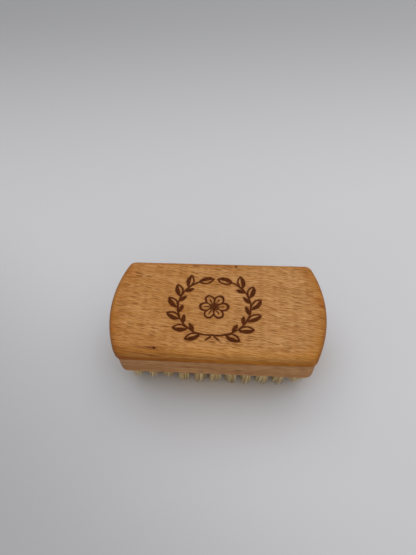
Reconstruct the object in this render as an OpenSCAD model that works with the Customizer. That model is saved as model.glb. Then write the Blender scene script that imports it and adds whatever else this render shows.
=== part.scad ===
// Drawn nail brush: bristle tufts folded over one laced wire in a drilled beech
// board, closed by a cover board that is glued on. It stands on its trimmed bristle
// tips, and the origin is the middle of that footprint. X is the grain, Z is up.

/* [Cover board] */
// Length along the grain, over the bowed ends
cover_l = 80; // [74:1:95]
// Width
cover_w = 40.5; // [38:0.5:46]
// Thickness
cover_t = 6; // [4.5:0.5:9]
// How far each end bows out past its two corners
end_bow = 4.8; // [3:0.2:7]
// Radius of the four corners, seen from above
corner_r = 3.2; // [2.6:0.1:5]
// Rounding of the top edge, no more than the corners and the thickness allow
top_round = 2.5; // [1:0.1:4]
// Chamfer of the lower edge
cover_ease = 0.4; // [0.2:0.1:0.8]

/* [Bristle board] */
// Thickness
board_t = 11; // [9.5:0.5:14]
// How far its long sides stand back from the cover board's
side_inset = 0.6; // [0.3:0.1:1.2]
// How far its ends stand back from the cover board's
end_inset = 0.4; // [0.2:0.1:1]
// Chamfer of its lower edge
board_ease = 0.5; // [0.2:0.1:1]

/* [Tuft holes] */
// Rows of tufts across the board
rows = 5; // [3:1:5]
// Tufts in each row
columns = 11; // [7:1:11]
// From the middle of an end to the nearest holes
end_margin = 8.6; // [8:0.1:11]
// From a long side to the nearest row
side_margin = 4.4; // [4:0.1:7]
// Diameter of the hole that holds a tuft
hole_d = 3; // [2.6:0.1:3.4]
// Depth of that hole from the underside
hole_depth = 8; // [6:0.5:9]
// Diameter of the small hole that lets the wire's loop through from the back
pilot_d = 2; // [1.8:0.1:2.3]

/* [Bristles] */
// Free length, from the board's underside to the trimmed tips
bristle_l = 13; // [9:0.5:18]
// Strands that stand for the bristles of one tuft
strands = 8; // [6:1:9]
// Thickness of a strand
strand_d = 0.7; // [0.4:0.05:0.75]
// How far a tuft spreads by its tips, all round
splay = 1; // [0.2:0.1:1.1]
// How far the outermost tufts' tips lie outwards of their holes
tip_offset = 0.5; // [0:0.1:1.5]
// Largest stray of one tip from an even spread, along X and along Y
tip_stray = 0.15; // [0:0.05:0.2]
// Play between a packed tuft and its hole
tuft_fit = 0.05; // [0.02:0.01:0.08]

/* [Draw wire] */
// Diameter
wire_d = 0.4; // [0.3:0.05:0.45]
// Radius of the bend from a hole into its groove, on the wire's centre line
wire_bend_r = 0.4; // [0.3:0.05:0.5]
// Radius of the bend from one row into the next
turn_r = 1.5; // [1:0.1:2.5]
// Straight wire past the last hole of a row
wire_tail = 1; // [0.5:0.1:1.5]
// Play round the wire in its grooves and loops
wire_fit = 0.05; // [0.02:0.01:0.08]

/* [Hidden] */
$fn = 32;
// Segments that a full circle of an end's large radius would have
end_fn = 96;
round_steps = 7;
// Every cut runs this far past the face that it opens
overrun = 1;

// The bristle board, and the pitch of the holes that fill it
board_l = cover_l - 2 * end_inset;
board_w = cover_w - 2 * side_inset;
column_pitch = (board_l - 2 * end_margin) / (columns - 1);
row_pitch = (board_w - 2 * side_margin) / (rows - 1);

// Heights, from the trimmed tips up
mouth_z = bristle_l;
shoulder_z = mouth_z + hole_depth;
board_top = mouth_z + board_t;

// The wire runs along the back of the board, and at each hole it dips in a loop of
// two legs. Its bend ends short of the hole's edge by a quarter of the wire.
groove_r = wire_d / 2 + wire_fit;
run_z = board_top - groove_r;
hole_reach = pilot_d / 2 - wire_d / 4;
leg_x = hole_reach - wire_bend_r;
run_x = hole_x(columns) + hole_reach + wire_tail;
bend_steps = 1;
loop_steps = 3;
turn_steps = 2;
wire_sides = 6;

// The packed root of a tuft, with the fold that hangs in the wire's loop
root_recess = 0.5;
fold_inset = 0.1;
eye_floor = 0.1;
root_r = hole_d / 2 - tuft_fit;
fold_r = root_r - fold_inset;
fold_w = 2 * (leg_x - wire_d / 2 - wire_fit);
root_bottom = mouth_z + root_recess;
root_top = shoulder_z - tuft_fit - fold_r;
loop_rise = sqrt(pow(leg_x, 2) - pow(fold_w / 2, 2));
eye_r = leg_x - loop_rise + wire_d / 2 * leg_x / loop_rise + wire_fit;
eye_z = root_top + eye_floor + eye_r;
loop_drop = run_z - eye_z - leg_x;

// A strand leaves the root at ring_share of its radius, and at half its free length
// it has gone mid_spread_share of its way out
ring_share = 0.66;
mid_spread_share = 0.3;
tip_taper_share = 0.8;
strand_sides = 3;
strand_root = 0.5;
// Part of a turn from one tuft's spread to the next one's
tuft_turn_share = 0.618;

oiled_beech = [0.70, 0.49, 0.28];
raw_beech = [0.66, 0.52, 0.38];
bristle_colour = [0.86, 0.81, 0.62];
wire_colour = [0.72, 0.72, 0.70];

function tuft_name(row, column) = str("tuft_row", row, column < 10 ? "_0" : "_", column);
function hole_x(column) = (column - (columns + 1) / 2) * column_pitch;
function hole_y(row) = (row - (rows + 1) / 2) * row_pitch;

function polar(r, angle) = r * [cos(angle), sin(angle)];
function arc(centre, r, from, to, steps) = [
    for (i = [0 : steps]) centre + polar(r, from + (to - from) * i / steps)
];

// Half section of a board, from its axis out to the edge
function half_section(r, t, top_r, low_cut) = concat(
    [[0, 0], [r - low_cut, 0], [r, low_cut]],
    top_r > 0 ? arc([r - top_r, t - top_r], top_r, 0, 90, round_steps) : [[r, t]],
    [[0, t]]
);

// A board with straight long sides, bowed ends and round corners. Discs at the four
// corners and a wide sector at each end carry its edge, and their hull is the board.
module bowed_board(l, w, t, top_r, low_cut) {
    end_r = (pow(end_bow, 2) + pow(w / 2, 2)) / (2 * end_bow);
    end_x = l / 2 - end_r;
    corner_y = w / 2 - corner_r;
    corner_x = end_x + sqrt(pow(end_r - corner_r, 2) - pow(corner_y, 2));
    end_angle = asin(corner_y / (end_r - corner_r));
    hull() for (end = [0, 1]) mirror([end, 0, 0]) {
        translate([end_x, 0, 0]) rotate(-end_angle) rotate_extrude(angle = 2 * end_angle, $fn = end_fn)
            polygon(half_section(end_r, t, top_r, low_cut));
        for (side = [-1, 1]) translate([corner_x, side * corner_y, 0]) rotate_extrude()
            polygon(half_section(corner_r, t, top_r, low_cut));
    }
}

module cover_board() {
    color(oiled_beech) translate([0, 0, board_top])
        bowed_board(cover_l, cover_w, cover_t, min(top_round, corner_r, cover_t - cover_ease), cover_ease);
}

module tuft_hole() {
    translate([0, 0, mouth_z - overrun]) {
        cylinder(d = hole_d, h = hole_depth + overrun);
        cylinder(d = pilot_d, h = board_t + 2 * overrun);
    }
}

// The groove from the end of one row to the end of the next
module turn_groove() {
    translate([0, 0, run_z - groove_r]) linear_extrude(groove_r + overrun + groove_r) {
        for (end_y = [turn_r, row_pitch - turn_r]) intersection() {
            translate([0, end_y]) difference() {
                circle(turn_r + groove_r);
                circle(turn_r - groove_r);
            }
            square([2 * turn_r, end_y == turn_r ? turn_r : row_pitch + turn_r]);
        }
        translate([turn_r - groove_r, turn_r]) square([2 * groove_r, row_pitch - 2 * turn_r]);
    }
}

module bristle_board() {
    color(raw_beech) difference() {
        translate([0, 0, mouth_z]) bowed_board(board_l, board_w, board_t, 0, board_ease);
        for (row = [1 : rows], column = [1 : columns])
            translate([hole_x(column), hole_y(row), 0]) tuft_hole();
        for (row = [1 : rows])
            translate([-run_x, hole_y(row) - groove_r, run_z - groove_r])
                cube([2 * run_x, 2 * groove_r, 2 * groove_r + overrun]);
        for (row = [1 : rows - 1])
            mirror([(row + 1) % 2, 0, 0]) translate([run_x, hole_y(row), 0]) turn_groove();
    }
}

// Closed skin over a run of rings that all have as many points
module skin(rings) {
    n = len(rings[0]);
    last = (len(rings) - 1) * n;
    polyhedron([for (ring = rings) each ring], concat(
        [[for (k = [0 : n - 1]) k], [for (k = [n - 1 : -1 : 0]) last + k]],
        [for (ring = [0 : len(rings) - 2], k = [0 : n - 1])
            let (a = ring * n + k, b = ring * n + (k + 1) % n) each [[a, a + n, b + n], [a, b + n, b]]]
    ));
}

function unit(v) = v / norm(v);
function across(v, along) = unit(v - (v * along) * along);
function heading(route, i) = let (last = len(route) - 1)
    unit((i < last ? unit(route[i + 1] - route[i]) : [0, 0, 0])
        + (i > 0 ? unit(route[i] - route[i - 1]) : [0, 0, 0]));

// Rings square to a route, each turned as little as can be from the one before it
function tube_rings(route, d, sides) = [
    for (i = 0, up = across([0, 0, 1], heading(route, 0)); i < len(route);
            up = across(up, heading(route, min(i + 1, len(route) - 1))), i = i + 1)
        let (side = cross(heading(route, i), up))
        [for (k = [0 : sides - 1]) let (p = polar(d / 2, 360 * k / sides)) route[i] + p.x * up + p.y * side]
];

// The wire's way into one hole, round under the fold and out again, as [x, z] points
dip = concat(
    arc([-hole_reach, -wire_bend_r], wire_bend_r, 90, 0, bend_steps),
    arc([0, -loop_drop], leg_x, 180, 360, loop_steps),
    arc([hole_reach, -wire_bend_r], wire_bend_r, 180, 90, bend_steps)
);
turn = concat(arc([0, turn_r], turn_r, -90, 0, turn_steps), arc([0, row_pitch - turn_r], turn_r, 0, 90, turn_steps));

// Which way the wire runs along a row
function row_way(row) = row % 2 == 1 ? 1 : -1;
function wire_end(row, end) = [row_way(row) * end * run_x, hole_y(row), run_z];

wire_route = concat(
    [wire_end(1, -1)],
    [for (row = [1 : rows]) each concat(
        [for (column = [1 : columns], p = dip) [row_way(row) * (hole_x(column) + p.x), hole_y(row), run_z + p.y]],
        row < rows ? [for (p = turn) [row_way(row) * (run_x + p.x), hole_y(row) + p.y, run_z]] : []
    )],
    [wire_end(rows, 1)]
);

module draw_wire() {
    color(wire_colour) skin(tube_rings(wire_route, wire_d, wire_sides));
}

// The bristles as they lie packed in the hole, folded over the wire
module packed_root() {
    difference() {
        union() {
            translate([0, 0, root_bottom]) cylinder(r = root_r, h = root_top - root_bottom);
            translate([0, 0, root_top]) rotate([0, 90, 0]) cylinder(r = fold_r, h = fold_w, center = true);
        }
        translate([0, 0, eye_z]) rotate([0, 90, 0])
            cylinder(r = eye_r, h = fold_w + 2 * overrun, center = true);
    }
}

// One strand, from its trimmed tip up into the packed root
module strand(root, tip, spin) {
    middle = root + (tip - root) * mid_spread_share;
    function ring(at, z, d) = [
        for (k = [0 : strand_sides - 1])
            let (p = at + polar(d / 2, spin + 360 * k / strand_sides)) [p.x, p.y, z]
    ];
    skin([
        ring(tip, 0, strand_d * tip_taper_share),
        ring(middle, mouth_z / 2, strand_d),
        ring(root, root_bottom + strand_root, strand_d)
    ]);
}

module tuft(row, column) {
    index = (row - 1) * columns + column;
    strays = rands(-tip_stray, tip_stray, 2 * strands, index);
    outwards = tip_offset * [hole_x(column) / hole_x(columns), hole_y(row) / hole_y(rows)];
    color(bristle_colour) translate([hole_x(column), hole_y(row), 0]) {
        packed_root();
        for (i = [0 : strands - 1]) {
            angle = 360 * (i / (strands - 1) + index * tuft_turn_share);
            away = i == 0 ? [0, 0] : polar(1, angle);
            root = away * root_r * ring_share;
            strand(root, root + away * splay + outwards + [strays[2 * i], strays[2 * i + 1]], angle);
        }
    }
}

cover_board();
bristle_board();
draw_wire();
for (row = [1 : rows], column = [1 : columns])
    tuft(row, column);
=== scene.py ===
# A drawn nail brush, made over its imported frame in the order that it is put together:
# bristle board, draw wire, tufts and cover board, then the table, light and camera.
import math

import bmesh
import bpy
import numpy as np
from mathutils import Matrix, Vector


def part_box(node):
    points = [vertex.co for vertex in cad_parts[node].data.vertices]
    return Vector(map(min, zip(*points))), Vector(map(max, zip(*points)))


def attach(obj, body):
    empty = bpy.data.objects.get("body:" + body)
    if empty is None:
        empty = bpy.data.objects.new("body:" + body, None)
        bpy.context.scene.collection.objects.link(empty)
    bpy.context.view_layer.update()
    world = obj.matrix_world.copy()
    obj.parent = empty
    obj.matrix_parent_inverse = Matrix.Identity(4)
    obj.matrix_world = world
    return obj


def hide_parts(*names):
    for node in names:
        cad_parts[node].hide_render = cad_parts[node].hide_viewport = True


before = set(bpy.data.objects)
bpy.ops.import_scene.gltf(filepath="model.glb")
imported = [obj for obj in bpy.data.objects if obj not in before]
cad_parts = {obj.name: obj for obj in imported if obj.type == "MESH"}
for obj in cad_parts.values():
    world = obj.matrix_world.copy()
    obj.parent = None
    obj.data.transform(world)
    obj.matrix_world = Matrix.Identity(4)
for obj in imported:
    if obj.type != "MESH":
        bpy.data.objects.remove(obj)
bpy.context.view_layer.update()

# Bristle board: raw beech, paler than the cover and set back a little under it. It is
# sawn with straight sides and bowed ends, drilled from below with a stepped hole for
# each tuft, and grooved along its back, where the draw wire lies.
mm = 0.001
near_enough = 0.01 * mm
board_low, board_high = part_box("bristle_board")
wire_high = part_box("draw_wire")[1]
end_bow = 4.8 * mm
corner_radius = 3.2 * mm
corner_steps, end_steps = 12, 48
line_reach = 40 * mm
board_arris = 0.5 * mm
board_hem = 0.2 * mm
rows, columns = 5, 11
hole_sides = 40
hole_radius = 1.5 * mm
pilot_radius = 1 * mm
hole_depth = 8 * mm
mouth_flare = 0.12 * mm
wire_radius = 0.2 * mm
groove_radius = 0.25 * mm
turn_radius = 1.5 * mm
column_reach = 31 * mm
row_reach = wire_high.y - wire_radius
row_pitch = 2 * row_reach / (rows - 1)
column_pitch = 2 * column_reach / (columns - 1)
run_reach = wire_high.x - wire_radius - turn_radius
run_z = board_high.z - groove_radius
overrun = 1 * mm


def take(piece):
    """Selects the piece, and nothing else, for the operators."""
    bpy.ops.object.select_all(action="DESELECT")
    piece.select_set(True)
    bpy.context.view_layer.objects.active = piece


def open_mesh(piece):
    """Goes into the piece's edit mode, with nothing of it selected."""
    take(piece)
    bpy.ops.object.mode_set(mode="EDIT")
    bpy.ops.mesh.select_mode(type="VERT")
    bpy.ops.mesh.select_all(action="DESELECT")
    return piece


def close_mesh():
    bpy.ops.object.mode_set(mode="OBJECT")


def pick(piece, kind, wanted):
    """Selects the piece's verts, edges or faces that wanted accepts, and nothing else."""
    bpy.ops.mesh.select_all(action="DESELECT")
    bpy.ops.mesh.select_mode(type={"verts": "VERT", "edges": "EDGE", "faces": "FACE"}[kind])
    shape = bmesh.from_edit_mesh(piece.data)
    for element in getattr(shape, kind):
        element.select_set(wanted(element))
    shape.select_flush_mode()
    bmesh.update_edit_mesh(piece.data)


def at_height(z):
    """Accepts an edge or a face that lies flat at that height."""
    return lambda element: all(abs(vert.co.z - z) < near_enough for vert in element.verts)


def push(x=0, y=0, z=0):
    """Extrudes what is selected, and moves it."""
    bpy.ops.mesh.extrude_region_move(TRANSFORM_OT_translate={"value": (x, y, z)})


def face_outwards():
    bpy.ops.mesh.select_all(action="SELECT")
    bpy.ops.mesh.normals_make_consistent(inside=False)


def apply_modifier(piece, kind, **settings):
    modifier = piece.modifiers.new(kind.title(), kind)
    for name, value in settings.items():
        setattr(modifier, name, value)
    take(piece)
    bpy.ops.object.modifier_apply(modifier=modifier.name)


def settle(piece):
    """Puts the piece's place into its mesh, so that its object is at the origin."""
    take(piece)
    bpy.ops.object.transform_apply(location=True, rotation=True, scale=True)


def sawn_blank(name, low, high):
    """Sawn board with bowed ends and round corners: one point is spun round its outline, then raised."""
    end_radius = (end_bow**2 + high.y**2) / (2 * end_bow)
    end_x = high.x - end_radius
    corner_y = high.y - corner_radius
    corner_x = end_x + math.sqrt((end_radius - corner_radius) ** 2 - corner_y**2)
    end_angle = math.asin(corner_y / (end_radius - corner_radius))
    bpy.ops.mesh.primitive_plane_add(size=corner_radius)
    blank = open_mesh(bpy.context.object)
    blank.name = name
    bpy.ops.mesh.select_all(action="SELECT")
    bpy.ops.mesh.merge(type="CENTER")
    bpy.ops.transform.translate(value=(corner_x, -high.y, low.z))
    for side in (1, -1):
        for x, y, angle, steps in (
            (corner_x, -corner_y, math.pi / 2 - end_angle, corner_steps),
            (end_x, 0, 2 * end_angle, end_steps),
            (corner_x, corner_y, math.pi / 2 - end_angle, corner_steps),
        ):
            pivot = (side * x, side * y, low.z)
            bpy.ops.mesh.spin(steps=steps, angle=angle, center=pivot, axis=(0, 0, -1))
        push(x=-2 * side * corner_x)
    bpy.ops.mesh.select_all(action="SELECT")
    bpy.ops.mesh.remove_doubles(threshold=near_enough)
    bpy.ops.mesh.edge_face_add()
    push(z=high.z - low.z)
    face_outwards()
    close_mesh()
    return blank


def ease_rim(piece, z, width, segments):
    """Rounds over the board's whole rim at that height."""
    open_mesh(piece)
    pick(piece, "edges", at_height(z))
    bpy.ops.mesh.bevel(offset=width, segments=segments, affect="EDGES", clamp_overlap=False)
    close_mesh()


def hem(piece, z, width):
    """Narrow border round a flat face, which keeps the rim's shading off it."""
    open_mesh(piece)
    pick(piece, "faces", at_height(z))
    bpy.ops.mesh.inset(thickness=width)
    close_mesh()


def cross_lines(piece, spacing):
    """Lines across and along the board, so that none of its faces is long and thin."""
    for axis in ((1, 0, 0), (0, 1, 0)):
        for line in np.arange(spacing / 2, line_reach, spacing):
            for place in (line, -line):
                open_mesh(piece)
                bpy.ops.mesh.select_all(action="SELECT")
                bpy.ops.mesh.bisect(plane_co=[place * part for part in axis], plane_no=axis)
                close_mesh()


def repeat(piece, count, step):
    """Row of the piece, each copy one step from the last."""
    offset = {"use_relative_offset": False, "use_constant_offset": True}
    apply_modifier(piece, "ARRAY", count=count, constant_offset_displace=step, **offset)


def cut(piece, cutter):
    """Takes the cutter out of the piece, and puts it away."""
    apply_modifier(piece, "BOOLEAN", operation="DIFFERENCE", solver="EXACT", object=cutter)
    bpy.data.objects.remove(cutter)


def shade(piece):
    """Smooth over the rounds, flat over the large faces."""
    take(piece)
    bpy.ops.object.shade_smooth_by_angle(angle=math.radians(35))
    apply_modifier(piece, "WEIGHTED_NORMAL", keep_sharp=True, weight=100)


def stepped_drill():
    """Cutter for the first hole: a flared mouth, the tuft's bore, and a narrow way through for the wire."""
    shoulder = board_low.z + hole_depth
    first = (-column_reach, -row_reach, board_low.z)
    bore = hole_depth - mouth_flare
    bpy.ops.mesh.primitive_cylinder_add(
        vertices=hole_sides, radius=hole_radius, depth=bore, location=(*first[:2], shoulder - bore / 2)
    )
    drill = bpy.context.object
    settle(drill)
    open_mesh(drill)
    pick(drill, "faces", at_height(shoulder))
    bpy.ops.mesh.inset(thickness=hole_radius - pilot_radius)
    push(z=board_high.z + overrun - shoulder)
    pick(drill, "faces", at_height(board_low.z + mouth_flare))
    push(z=-mouth_flare)
    flare = (hole_radius + mouth_flare) / hole_radius
    bpy.ops.transform.resize(value=(flare, flare, 1), center_override=first)
    push(z=-overrun)
    close_mesh()
    return drill


def row_groove():
    """Cutter for the straight groove over the first row."""
    bpy.ops.mesh.primitive_cube_add(
        size=1,
        location=(0, -row_reach, run_z + overrun / 2),
        scale=(2 * run_reach, 2 * groove_radius, 2 * groove_radius + overrun),
    )
    groove = bpy.context.object
    settle(groove)
    return groove


def turn_groove():
    """Cutter for the groove from the first row to the second, round the right-hand end."""
    bpy.ops.mesh.primitive_plane_add(
        size=1, location=(run_reach, -row_reach, run_z + overrun / 2), rotation=(0, math.pi / 2, 0)
    )
    groove = bpy.context.object
    groove.scale = (2 * groove_radius + overrun, 2 * groove_radius, 1)
    settle(groove)
    open_mesh(groove)
    bpy.ops.mesh.select_all(action="SELECT")
    straight = row_pitch - 2 * turn_radius
    quarter = {"steps": 6, "angle": math.pi / 2, "axis": (0, 0, -1)}
    bpy.ops.mesh.spin(center=(run_reach, turn_radius - row_reach, run_z), **quarter)
    push(y=straight)
    bpy.ops.mesh.spin(center=(run_reach, turn_radius + straight - row_reach, run_z), **quarter)
    face_outwards()
    close_mesh()
    return groove


board = sawn_blank("bristle_board_wood", board_low, board_high)
ease_rim(board, board_low.z, board_arris, segments=4)
hem(board, board_low.z, board_hem)
cross_lines(board, spacing=column_pitch)
drill = stepped_drill()
repeat(drill, columns, (column_pitch, 0, 0))
repeat(drill, rows, (0, row_pitch, 0))
cut(board, drill)
groove = row_groove()
repeat(groove, rows, (0, row_pitch, 0))
cut(board, groove)
for half_turn in (0, math.pi):
    groove = turn_groove()
    repeat(groove, (rows - 1) // 2, (0, 2 * row_pitch, 0))
    groove.rotation_euler.z = half_turn
    settle(groove)
    cut(board, groove)
shade(board)


class Signal:
    """One socket of a finish. A sum on it adds the Math node for that sum."""

    def __init__(self, finish, socket):
        self.finish = finish
        self.socket = socket

    def sum(self, operation, *values):
        return self.finish.node("ShaderNodeMath", {"operation": operation}, dict(enumerate(values)))

    def __add__(self, other):
        return self.sum("ADD", self, other)

    def __sub__(self, other):
        return self.sum("SUBTRACT", self, other)

    def __rsub__(self, other):
        return self.sum("SUBTRACT", other, self)

    def __mul__(self, other):
        return self.sum("MULTIPLY", self, other)

    def __truediv__(self, other):
        return self.sum("DIVIDE", self, other)

    def __abs__(self):
        return self.sum("ABSOLUTE", self)

    def least(self, other):
        return self.sum("MINIMUM", self, other)

    def most(self, other):
        return self.sum("MAXIMUM", self, other)

    def rise(self, start, end):
        """Smooth step: 0 below start, 1 above end."""
        sockets = {"Value": self, "From Min": start, "From Max": end}
        return self.finish.node("ShaderNodeMapRange", {"interpolation_type": "SMOOTHSTEP"}, sockets)

    def other(self, output):
        """Another output of the node that this one comes from."""
        return Signal(self.finish, self.socket.node.outputs[output])

    __radd__ = __add__
    __rmul__ = __mul__


class Finish:
    """A finish under way: a material, its nodes, and its shader with the plain values set."""

    def __init__(self, name, **plain):
        self.material = bpy.data.materials.new(name)
        self.material.use_nodes = True
        self.tree = self.material.node_tree
        self.shader = self.tree.nodes["Principled BSDF"]
        for socket, value in plain.items():
            self.shader.inputs[socket.replace("_", " ")].default_value = value
        metres = self.node("ShaderNodeTexCoord", output="Object")
        self.point = self.vector("DIVIDE", metres, (mm, mm, mm))

    def node(self, kind, settings=None, sockets=None, output=0):
        made = self.tree.nodes.new(kind)
        for name, value in (settings or {}).items():
            setattr(made, name, value)
        for socket, value in (sockets or {}).items():
            if isinstance(value, Signal):
                self.tree.links.new(value.socket, made.inputs[socket])
            else:
                made.inputs[socket].default_value = value
        return Signal(self, made.outputs[output])

    def vector(self, operation, *values, output=0):
        return self.node("ShaderNodeVectorMath", {"operation": operation}, dict(enumerate(values)), output)

    def length(self, vector):
        return self.vector("LENGTH", vector, output="Value")

    def split(self, vector):
        return [self.node("ShaderNodeSeparateXYZ", {}, {0: vector}, output) for output in range(3)]

    def join(self, x, y, z):
        return self.node("ShaderNodeCombineXYZ", {}, {0: x, 1: y, 2: z})

    def cell(self, at, size, shift=0):
        """The place, counted in cells of that size in mm."""
        scale = tuple(1 / length for length in size)
        sockets = {"Vector": at, "Scale": scale, "Location": (shift, shift, shift)}
        return self.node("ShaderNodeMapping", {}, sockets)

    def cloud(self, at, size, detail=2, shift=0):
        """Soft noise from 0 to 1 in blotches of that size in mm."""
        sockets = {"Vector": self.cell(at, size, shift), "Scale": 1, "Detail": detail}
        return self.node("ShaderNodeTexNoise", {}, sockets)

    def mix(self, factor, first, second):
        """Colour: the first where the factor is 0, the second where it is 1."""
        return self.node("ShaderNodeMix", {"data_type": "RGBA"}, {0: factor, 6: first, 7: second}, 2)

    def emboss(self, height, depth):
        """Small relief: the height, from 0 to 1, stands for that depth in metres."""
        sockets = {"Height": height, "Distance": depth, "Strength": 1}
        self.feed("Normal", self.node("ShaderNodeBump", {}, sockets))

    def feed(self, socket, value):
        self.tree.links.new(value.socket, self.shader.inputs[socket])


def paint(red, green, blue):
    """Colour as a screen shows it, from 0 to 255, in the light that it stands for."""
    return tuple(((part / 255 + 0.055) / 1.055) ** 2.4 for part in (red, green, blue)) + (1,)


# How far to the side the grain wanders, in mm.
grain_wander = 2.2


def unrolled(finish, high, fall=0):
    """The place in mm, the board's sides rolled out beside its top: the grain runs on round the rim."""
    x, y, z = finish.split(finish.point)
    spread = finish.cloud(finish.point, (13, 7, 30), detail=1)
    rolled = y * ((high.z / mm - z) / (high.y / mm) + 1)
    return finish.join(x, rolled + fall + (spread - 0.5) * grain_wander, z)


def from_bowed_end(finish, high):
    """How far in mm the place is from the nearer end of a board."""
    x, y, _ = finish.split(finish.point)
    half_length, half_width, bow = high.x / mm, high.y / mm, end_bow / mm
    radius = (bow**2 + half_width**2) / (2 * bow)
    return radius - finish.length(finish.join(abs(x) + (radius - half_length), y, 0))


def ray_flecks(finish, at, size, reach, shift):
    """Rays of beech, cut across: short dark spindles that lie along the grain."""
    sockets = {"Vector": finish.cell(at, size, shift), "Scale": 1}
    near = finish.node("ShaderNodeTexVoronoi", {"voronoi_dimensions": "3D", "feature": "F1"}, sockets)
    chance = finish.split(near.other("Color"))[0]
    return (1 - near.rise(reach * 0.6, reach)) * chance.rise(0.1, 0.95)


raw = Finish("raw_beech", Specular_IOR_Level=0.15)
grain = unrolled(raw, board_high)
flecks = ray_flecks(raw, grain, (4.6, 0.42, 30), reach=0.44, shift=3)
fibres = raw.cloud(grain, (7, 0.5, 30), detail=3, shift=11)
bands = raw.cloud(grain, (40, 2.2, 30), detail=2, shift=5)
cut_ends = 1 - from_bowed_end(raw, board_high).rise(0.1, 1.2)
_, _, height = raw.split(raw.point)
sanded = height.rise(board_high.z / mm - 1.6, board_high.z / mm - 0.2)
pores = ray_flecks(raw, raw.point, (2, 0.3, 0.9), reach=0.5, shift=9) * cut_ends
# Each mix lays a tone over the last ones: where and how strongly, then its colour.
tone = raw.mix(bands.rise(0.3, 0.7), paint(188, 142, 94), paint(168, 118, 72))
tone = raw.mix(fibres.rise(0.36, 0.64) * 0.6, tone, paint(148, 98, 56))
tone = raw.mix(sanded * 0.35, tone, paint(204, 166, 122))
tone = raw.mix((flecks * (1 - cut_ends)).most(pores) * 0.8, tone, paint(120, 74, 40))
tone = raw.mix(cut_ends * 0.4, tone, paint(146, 100, 64))
raw.feed("Base Color", tone)
raw.feed("Roughness", 0.58 + fibres * 0.12)
grain_depth = 0.05 * mm
raw.emboss(1 - fibres * 0.5 - flecks * 0.5, grain_depth)
board.data.materials.append(raw.material)
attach(board, "root")
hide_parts("bristle_board")

# Draw wire: one length of drawn steel wire, laced along the back of the board. It dips
# into every hole in a loop that holds a tuft by its fold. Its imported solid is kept.
steel = Finish("drawn_steel", Metallic=1.0, Roughness=0.3)
drawn = steel.cloud(steel.point, (2.5, 0.05, 0.05), detail=2)
steel.feed("Base Color", steel.mix(drawn, paint(150, 148, 144), paint(196, 194, 189)))
steel.feed("Roughness", 0.22 + drawn * 0.2)
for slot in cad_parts["draw_wire"].material_slots:
    slot.material = steel.material

# Tufts: pale plant fibre, cut in bundles. Each bundle is folded over the wire, drawn up
# tight into its hole, and trimmed flat. Use has set them a little to the left, and has
# splayed and worn the ones near the ends.
root_radius = 1.42 * mm
root_low = board_low.z + 0.5 * mm
root_high = 19.6 * mm
fold_half_width = 0.22 * mm
fold_length, fold_taper = 0.93, 0.95
fold_steps = ((0.6 * mm, 0.92), (0.4 * mm, 0.75), (0.25 * mm, 0.45))
eye_z = 20.05 * mm
eye_radius = 0.36 * mm
bristle_count, bristle_rings = 110, 7
bristle_radius = 0.11 * mm
tip_thinning = 0.35
root_overlap = 1 * mm
fan_width = 1.15 * mm
# Turns from one bristle to the next, and from one tuft to the next.
golden_turn, tuft_turn = 0.618034, 0.31
# Each tuft parts into a few clumps, and each bristle strays a little.
clumps_in_tuft, clump_spread, clump_pull = 4, 0.5, 0.35 * mm
tip_stray, bow_stray = 0.26 * mm, 0.12 * mm
trim_spread, trim_most = 0.45 * mm, 1.8 * mm
# Use: the set to one side, and the wear past these shares of the half-length.
set_left, side_lean = 0.8 * mm, 0.2 * mm
end_splay, wear, worn_lean = 2.4 * mm, 1.2 * mm, 0.6 * mm
worn_left, worn_right, worn_rise = -0.4, 0.8, 5


def packed_root():
    """The bundle's folded end: a tight plug whose top narrows to a ridge with an eye for the wire."""
    middle = (0, 0, (root_low + root_high) / 2)
    bpy.ops.mesh.primitive_cylinder_add(
        vertices=20, radius=root_radius, depth=root_high - root_low, location=middle
    )
    root = bpy.context.object
    settle(root)
    open_mesh(root)
    pick(root, "faces", at_height(root_high))
    top = (0, 0, root_high)
    bpy.ops.mesh.extrude_region_move()
    bpy.ops.transform.resize(value=(fold_half_width / root_radius, fold_length, 1), center_override=top)
    for rise, narrow in fold_steps:
        push(z=rise)
        bpy.ops.transform.resize(value=(fold_taper, narrow, 1), center_override=top)
    close_mesh()
    bpy.ops.mesh.primitive_cylinder_add(
        vertices=12, radius=eye_radius, depth=4 * mm, location=(0, 0, eye_z), rotation=(0, math.pi / 2, 0)
    )
    eye = bpy.context.object
    settle(eye)
    cut(root, eye)
    return root


def straight_bristle():
    """One bristle of unit length and radius, from z = 0 at its tip up to z = 1, in rings of four."""
    bpy.ops.mesh.primitive_cylinder_add(vertices=4, radius=1, depth=1, location=(0, 0, 0.5))
    bristle = bpy.context.object
    settle(bristle)
    for ring in range(1, bristle_rings - 1):
        open_mesh(bristle)
        bpy.ops.mesh.select_all(action="SELECT")
        bpy.ops.mesh.bisect(plane_co=(0, 0, ring / (bristle_rings - 1)), plane_no=(0, 0, 1))
        close_mesh()
    return bristle


def parts_of(piece):
    """The piece's points and faces, and the piece is put away."""
    points = np.array([vert.co for vert in piece.data.vertices])
    faces = [list(face.vertices) for face in piece.data.polygons]
    bpy.data.objects.remove(piece)
    return points, faces


root_points, root_faces = parts_of(packed_root())
unit_points, unit_faces = parts_of(straight_bristle())


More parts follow.
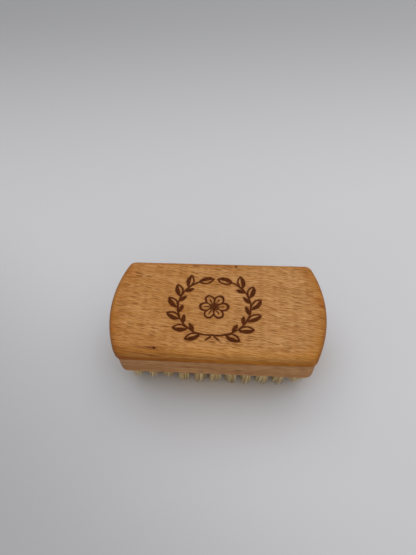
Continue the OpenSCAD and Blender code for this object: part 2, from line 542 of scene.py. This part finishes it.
def bend(unit, hole, across, lean, short, chance):
    """One bristle's points: straight in the hole, then fanned out, and strayed a little by chance."""
    own_tip, own_bow = chance[:2], chance[2:4]
    own_turn, own_trim, own_flare = chance[4:]
    high = root_low + root_overlap
    trimmed = short + min(abs(own_trim) ** 2 * trim_spread, trim_most)
    height = trimmed + unit[:, 2] * (high - trimmed)
    free = np.clip((board_low.z - height) / board_low.z, 0, 1)
    flare = min(max(1 + 0.5 * own_flare, 0.2), 1.5)
    fan = across * (fan_width * flare * free**1.3)[:, None] / root_radius
    sag = lean * (free**1.7)[:, None]
    loose = 1 + 1.5 * (abs(own_trim) > 2)
    stray = own_tip * tip_stray * loose * free[:, None]
    stray = stray + own_bow * bow_stray * np.sin(free * math.pi)[:, None]
    thin = 1 - tip_thinning * free**3
    centre = hole + across * (root_radius - bristle_radius) / root_radius
    turn = own_turn * math.pi
    ring = unit[:, :2] @ np.array([[math.cos(turn), math.sin(turn)], [-math.sin(turn), math.cos(turn)]])
    flat = centre + fan + sag + stray + ring * bristle_radius * thin[:, None]
    return np.column_stack([flat, height])


def tuft_of(row, column):
    """One tuft with a mesh of its own: its packed root, and its bristles bent as its place asks."""
    index = (row - 1) * columns + column
    chance = np.random.default_rng(index)
    hole = np.array([(column - 1) * column_pitch - column_reach, (row - 1) * row_pitch - row_reach])
    outwards = hole / np.array([column_reach, row_reach])
    worn = min(worn_rise * max(worn_left - outwards[0], outwards[0] - worn_right, 0), 1)
    inwards = outwards[1] ** 3 * (worn_lean * worn - side_lean * (1 - 3 * abs(outwards[0]) ** 3))
    lean = np.array([-set_left * min(worn_rise * (outwards[0] + 1), 1), -inwards])
    points = [root_points + np.array([hole[0], hole[1], 0])]
    faces = [list(face) for face in root_faces]
    tones = [np.full(len(root_points), 0.5)]
    start = len(root_points)
    clumps = chance.normal(0, clump_spread, (clumps_in_tuft, 2))
    for number in range(bristle_count):
        angle = (number * golden_turn + index * tuft_turn) * 2 * math.pi
        away = math.sqrt((number + 0.5) / bristle_count)
        across = np.array([math.cos(angle), math.sin(angle)]) * away
        nearest = clumps[np.argmin(np.linalg.norm(clumps - across, axis=1))]
        pull = (nearest - across) * clump_pull
        strays = chance.normal(0, 1, 7)
        outer = max(across[0] * outwards[0], 0) ** 3
        splay = outwards[0] ** 9 * outer * end_splay * (0.55 + 0.45 * outwards[0])
        bent = lean + pull + np.array([splay, 0])
        short = wear * worn + splay**2 / (2 * board_low.z)
        points.append(bend(unit_points, hole, across * root_radius, bent, short, strays))
        faces.extend([start + corner for corner in face] for face in unit_faces)
        tones.append(np.full(len(unit_points), chance.random()))
        start += len(unit_points)
    mesh = bpy.data.meshes.new(f"bristles_row{row}_{column:02d}")
    mesh.from_pydata(np.concatenate(points).tolist(), [], faces)
    tone = mesh.attributes.new("bristle_tone", "FLOAT", "POINT")
    tone.data.foreach_set("value", np.concatenate(tones))
    tuft = bpy.data.objects.new(mesh.name, mesh)
    bpy.context.scene.collection.objects.link(tuft)
    return tuft


fibre = Finish("pale_fibre", Specular_IOR_Level=0.3)
own = fibre.node("ShaderNodeAttribute", {"attribute_name": "bristle_tone"}, output="Fac")
length_tone = fibre.cloud(fibre.point, (0.3, 0.3, 4), detail=1)
pale = fibre.mix(own.rise(0, 0.7), paint(250, 232, 186), paint(224, 194, 134))
pale = fibre.mix(own.rise(0.7, 1) * 0.85, pale, paint(168, 128, 72))
pale = fibre.mix(length_tone.rise(0.3, 0.8) * 0.35, pale, paint(196, 158, 94))
fibre.feed("Base Color", pale)
fibre.feed("Roughness", 0.42 + own * 0.2)

for row in range(1, rows + 1):
    for column in range(1, columns + 1):
        tuft = tuft_of(row, column)
        take(tuft)
        bpy.ops.object.shade_smooth_by_angle(angle=math.radians(100))
        tuft.data.materials.append(fibre.material)
        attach(tuft, "root")
        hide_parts(f"tuft_row{row}_{column:02d}")

# Cover board: oiled beech, the part that the hand holds. It is glued over the laced
# back of the bristle board, rounded over at the top, and carries a burned sprig wreath.
cover_low, cover_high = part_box("cover_board")
top_round = 2.5 * mm
cover_arris = 0.4 * mm
cover_hem = 0.1 * mm
cover = sawn_blank("cover_board_wood", cover_low, cover_high)
ease_rim(cover, cover_low.z, cover_arris, segments=3)
ease_rim(cover, cover_high.z, top_round, segments=12)
hem(cover, cover_high.z, cover_hem)
cross_lines(cover, spacing=8 * mm)
shade(cover)

oiled = Finish("oiled_beech", Specular_IOR_Level=0.06, Coat_Roughness=0.35)
x, y, z = oiled.split(oiled.point)
cover_base, cover_top = cover_low.z / mm, cover_high.z / mm
# The grain falls a little to the right.
grain_fall = 0.16
grain = unrolled(oiled, cover_high, x * grain_fall)
long_flecks = ray_flecks(oiled, grain, (4.3, 0.32, 30), reach=0.46, shift=1)
short_flecks = ray_flecks(oiled, grain, (2.4, 0.26, 30), reach=0.46, shift=7)
fibres = oiled.cloud(grain, (5, 0.4, 30), detail=3, shift=11)
bands = oiled.cloud(grain, (34, 4, 30), detail=2, shift=5)
from_end = from_bowed_end(oiled, cover_high)
from_back = cover_high.y / mm - y
near_front = (-1 * y).rise(15, 19.5)
cut_ends = 1 - from_end.rise(0.1, 1.2)
pores = ray_flecks(oiled, oiled.point, (2, 0.3, 0.9), reach=0.5, shift=9) * cut_ends
streaks = oiled.cloud(grain, (15, 0.55, 30), detail=2, shift=31).rise(0.48, 0.64)
streaks = streaks * near_front * (1 - x.rise(-16, 8) * 0.6)
# Deeper orange near the ends and the back edge: partly the wood's own tone there, partly painted shade on
# the rounded ends.
warm_edges_and_shade = 1 - from_end.rise(0, 8).least(from_back.rise(0, 4))
# Darker still on the rounded rim of the ends and back: darker end grain, and painted shade where the round
# turns from the light.
rim = 1 - from_end.least(from_back).rise(0, 1.9)
ruddy = oiled.cloud(oiled.point, (9, 6, 6), detail=1, shift=17).rise(0.48, 0.7) * warm_edges_and_shade
pale_patches = oiled.cloud(oiled.point, (16, 8, 8), detail=1, shift=23).rise(0.45, 0.65) * (1 - warm_edges_and_shade)
# Painted shade: the lower part of the front face is painted darker and more orange, where the board below
# shades it.
low_edge_shade = (1 - z.rise(cover_base + 2, cover_base + 4.8)) * near_front
# Painted shade: the left part of the front roundover is painted darker, where less light reaches it.
left_front_shade = (1 - x.rise(-24, -3)) * (-1 * y).rise(16.6, 18) * z.rise(cover_top - 2, cover_top - 0.8)
# Dark line along the cover's bottom edge: the glue joint, and painted contact shadow under the cover's
# overhang.
glue_line_and_shade = 1 - z.rise(cover_base + 0.2, cover_base + 0.9)
tone = oiled.mix(bands.rise(0.3, 0.7), paint(196, 142, 84), paint(178, 122, 64))
# Painted sheen: the top is painted paler towards the right, where a soft reflection lies on it.
tone = oiled.mix(x.rise(-25, 30) * (1 - warm_edges_and_shade) * 0.4, tone, paint(194, 150, 100))
tone = oiled.mix(pale_patches * 0.3, tone, paint(206, 154, 98))
tone = oiled.mix(near_front * 0.5, tone, paint(212, 150, 76))
tone = oiled.mix(warm_edges_and_shade * 0.5, tone, oiled.mix(x.rise(-30, 30), paint(160, 94, 26), paint(166, 106, 24)))
tone = oiled.mix(ruddy * 0.5, tone, paint(172, 90, 30))
tone = oiled.mix(rim * 0.5, tone, paint(122, 64, 20))
tone = oiled.mix(low_edge_shade * 0.9, tone, oiled.mix(x.rise(-28, 12), paint(156, 84, 0), paint(190, 116, 8)))
tone = oiled.mix(left_front_shade * 0.4, tone, paint(130, 70, 22))
tone = oiled.mix(fibres.rise(0.37, 0.63) * 0.6, tone, paint(150, 90, 6))
tone = oiled.mix(fibres.rise(0.4, 0.6) * low_edge_shade * 0.15, tone, paint(104, 46, 0))
tone = oiled.mix(short_flecks * (0.75 - near_front * 0.4), tone, paint(128, 72, 0))
tone = oiled.mix(long_flecks * (0.9 - near_front * 0.4), tone, paint(114, 60, 0))
tone = oiled.mix(streaks * 0.65, tone, paint(104, 44, 6))
tone = oiled.mix(pores * 0.7, tone, paint(100, 48, 12))
tone = oiled.mix(glue_line_and_shade * 0.5, tone, paint(90, 46, 14))

# Burned wreath: a pair of leafy stems round a flower, drawn as distances in mm from its
# lines. The stems are one, folded over the middle.
line_width = 0.72
wreath_x, wreath_y = -1, -0.5
stem_x, stem_radius, stem_start, stem_end = 1.6, 11.8, -98, 66
leaf_gap = 0.35
# Slant off the stem in degrees, length and half width of each kind of leaf.
veined_leaf, small_leaf = (-36, 5.2, 1.25), (36, 3.6, 0.7)
end_leaf, first_leaf = (8, 5.4, 1.3), (-32, 3.2, 0.3)
burn_edge, scorch_reach, fill_spread = 0.14, 0.8, 0.1
wobble = oiled.cloud(oiled.point, (1.6, 1.6, 1.6), detail=1).other("Color")
wobble = oiled.vector("SUBTRACT", wobble, (0.5, 0.5, 0.5))
drawn_x, drawn_y, _ = oiled.split(oiled.vector("MULTIPLY_ADD", wobble, (0.5, 0.5, 0.5), oiled.point))
side_x, side_y = abs(drawn_x - wreath_x), drawn_y - wreath_y
half = oiled.join(side_x, side_y, 0)


def leaf(base_angle, slant, length, width):
    """Distance from a pointed leaf off the stem, below 0 inside it, and the place as the leaf has it."""
    way = math.radians(base_angle + 90 + slant)
    reach = length / 2 + leaf_gap
    middle = (
        stem_x + stem_radius * math.cos(math.radians(base_angle)) + reach * math.cos(way),
        stem_radius * math.sin(math.radians(base_angle)) + reach * math.sin(way),
        0,
    )
    round_off = (length**2 / 4 + width**2) / (2 * width)
    sockets = {"Vector": half, "Location": middle, "Rotation": (0, 0, way)}
    in_leaf = oiled.node("ShaderNodeMapping", {"vector_type": "TEXTURE"}, sockets)
    folded = oiled.vector("ADD", oiled.vector("ABSOLUTE", in_leaf), (0, round_off - width, 0))
    return oiled.length(folded) - round_off, in_leaf


def least_of(distances):
    """The nearest of several lines or shapes."""
    first = distances[0]
    for distance in distances[1:]:
        first = first.least(distance)
    return first


stem = abs(oiled.length(oiled.vector("SUBTRACT", half, (stem_x, 0, 0))) - stem_radius)
stem = stem.most(side_y - stem_radius * math.sin(math.radians(stem_end)))
outlines, fills = [stem], []
for base_angle in (-76, -52, -28, -4, 20, 44):
    edge, in_leaf = leaf(base_angle, *veined_leaf)
    outlines.append(abs(edge))
    fills.append(edge.most(oiled.split(in_leaf)[1]))
for base_angle in (-64, -40, -16, 8, 32):
    fills.append(leaf(base_angle, *small_leaf)[0])
edge, in_leaf = leaf(stem_end, *end_leaf)
outlines.append(abs(edge))
fills.append(edge.most(oiled.split(in_leaf)[1]))
fills.append(leaf(stem_start, *first_leaf)[0])

petals, petal_out, petal_round, petal_gap = 6, 3.2, 1.6, 0.4
heart, vein_out, vein_half, vein_thin = 1.3, 2.7, 0.7, 0.1
turned = side_y.sum("ARCTAN2", side_y, drawn_x - wreath_x) / (2 * math.pi / petals)
turned = (turned - turned.sum("ROUND", turned)) * (2 * math.pi / petals)
out = oiled.length(half)
petal_x, petal_y = out * turned.sum("COSINE", turned), out * turned.sum("SINE", turned)
petal = oiled.length(oiled.join((petal_x - petal_out) * 0.8, petal_y, 0)) - petal_round
outlines.append(abs(petal).most(heart + petal_gap - out))
outlines.append(abs(petal_y).most(abs(petal_x - vein_out) - vein_half) + vein_thin)
fills.append(out - heart)
from_lines = least_of([least_of(outlines) - line_width / 2, least_of(fills) - fill_spread])
upwards = z.rise(cover_top - 1, cover_top - 0.5)
burn = (1 - from_lines.rise(-burn_edge, burn_edge)) * upwards
scorch = (1 - from_lines.rise(0, scorch_reach)) * upwards
char = oiled.cloud(oiled.point, (0.35, 0.35, 0.35), detail=2, shift=21)
tone = oiled.mix(scorch * 0.35, tone, paint(140, 84, 36))
tone = oiled.mix(burn * 0.97, tone, oiled.mix(char.rise(0.3, 0.7), paint(44, 12, 0), paint(94, 44, 12)))

# Pin knot near the front edge, with the dark streak that it left in the grain, and a
# small mark by the far edge.
knot_left, knot_front, knot_fall = 21.1, 17.9, 0.09
mark_right, mark_far = 6.5, 18.1
knot_x = x + knot_left
knot_y = y + knot_front + knot_x * knot_fall
knot = 1 - oiled.length(oiled.join(knot_x * 1.2, knot_y * 1.6, 0)).rise(0.35, 0.8)
streak = (1 - abs(knot_x + 1).rise(0.8, 3.6)) * (1 - abs(knot_y).rise(0.08, 0.5)) * upwards
mark = 1 - oiled.length(oiled.join((x - mark_right) * 0.7, y - mark_far, 0)).rise(0.2, 0.65)
blemish = knot.most(mark * 0.85) * upwards
tone = oiled.mix(streak * 0.8, tone, paint(92, 32, 4))
tone = oiled.mix(blemish, tone, paint(44, 4, 0))
oiled.feed("Base Color", tone)
oiled.feed("Roughness", 0.42 + fibres * 0.1 + long_flecks * 0.1 + burn * 0.3)
oiled.feed("Coat Weight", (1 - burn.most(blemish).most(low_edge_shade)) * 0.14)
oiled.emboss(1 - long_flecks * 0.4 - fibres * 0.25 - burn * 0.9, grain_depth)
cover.data.materials.append(oiled.material)
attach(cover, "root")
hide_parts("cover_board")

# Table: a plain pale sheet that the brush stands on, bristles down. Its colour carries painted light:
# painted falloff far behind and towards the front corners, and painted warm bounce and shade close round
# the bristles.
bpy.ops.mesh.primitive_plane_add(size=3)
table = bpy.context.object
table.name = "table"
settle(table)
sheet = Finish("pale_table", Roughness=0.7)
table_x, table_y, _ = sheet.split(sheet.point)
# Painted light falloff: darker far behind, towards both front corners and to the left, as the room's light
# falls off.
far = table_y.rise(50, 330)
near_left = (table_x * -0.62 - table_y * 0.78).rise(8, 112)
near_right = (table_x * 0.6 - table_y * 0.8).rise(25, 120)
painted_falloff = (1 - far * 0.43) * (1 - near_left * 0.31) * (1 - near_right * 0.07) * (table_x * 0.0003 + 1)
# Painted bounce and shade: close round the bristles the sheet is painted warmer and darker, as light
# bounced off the wood and the shade under the brush.
painted_bounce_and_shade = 1 - sheet.length(sheet.join(table_x * 0.45, table_y + 4, 0)).rise(13, 24)
tone = sheet.mix(painted_falloff, (0, 0, 0, 1), sheet.mix(painted_bounce_and_shade, paint(202, 202, 205), paint(197, 188, 181)))
sheet.feed("Base Color", tone)
table.data.materials.append(sheet.material)

# Light: a wide window above and behind, another on the right, a pale wall that faces
# the front, and the pale room round it.
room_strength = 0.56
lamp_size = 1.1
scene = bpy.context.scene
room = bpy.data.worlds.new("room")
scene.world = room
room.use_nodes = True
background = room.node_tree.nodes["Background"]
background.inputs["Color"].default_value = (1, 1, 1, 1)
background.inputs["Strength"].default_value = room_strength


def soft_lamp(name, azimuth, elevation, energy, glossy):
    """Square lamp a metre away, turned to the brush."""
    lamp_data = bpy.data.lights.new(name, "AREA")
    lamp_data.shape = "SQUARE"
    lamp_data.size = lamp_size
    lamp_data.energy = energy
    lamp = bpy.data.objects.new(name, lamp_data)
    lamp.visible_glossy = glossy
    scene.collection.objects.link(lamp)
    azimuth, elevation = math.radians(azimuth), math.radians(elevation)
    away = math.cos(elevation)
    lamp.location = (math.cos(azimuth) * away, math.sin(azimuth) * away, math.sin(elevation))
    lamp.rotation_euler = lamp.location.to_track_quat("Z", "Y").to_euler()


soft_lamp("window", azimuth=100, elevation=68, energy=3.6, glossy=True)
soft_lamp("side_window", azimuth=15, elevation=50, energy=2.0, glossy=True)
soft_lamp("pale_wall", azimuth=-80, elevation=22, energy=1.2, glossy=False)

# Camera: held in the hand over the brush from the front, a little to the right of
# square. Angles are in degrees, and the lens comes from its length in pixels.
view_azimuth, view_elevation, view_roll = (math.radians(angle) for angle in (6.63, 54.48, -3.81))
view_shift_x, view_shift_y, view_distance = 3.3 * mm, -10.38 * mm, 163.91 * mm
sensor_long, photo_long, focal_pixels = 36, 555, 445.82
back = Vector((
    math.sin(view_azimuth) * math.cos(view_elevation),
    -math.cos(view_azimuth) * math.cos(view_elevation),
    math.sin(view_elevation),
))
level = Vector((math.cos(view_azimuth), math.sin(view_azimuth), 0))
upright = back.cross(level)
right = level * math.cos(view_roll) + upright * math.sin(view_roll)
up = upright * math.cos(view_roll) - level * math.sin(view_roll)
camera_data = bpy.data.cameras.new("camera")
camera_data.sensor_width = sensor_long
camera_data.lens = sensor_long * focal_pixels / photo_long
camera = bpy.data.objects.new("camera", camera_data)
scene.collection.objects.link(camera)
aim = Vector((0, 0, cover_high.z)) - right * view_shift_x - up * view_shift_y
place = Matrix.Translation(aim + back * view_distance)
camera.matrix_world = place @ Matrix((right, up, back)).transposed().to_4x4()
scene.camera = camera
scene.view_settings.view_transform = "Standard"
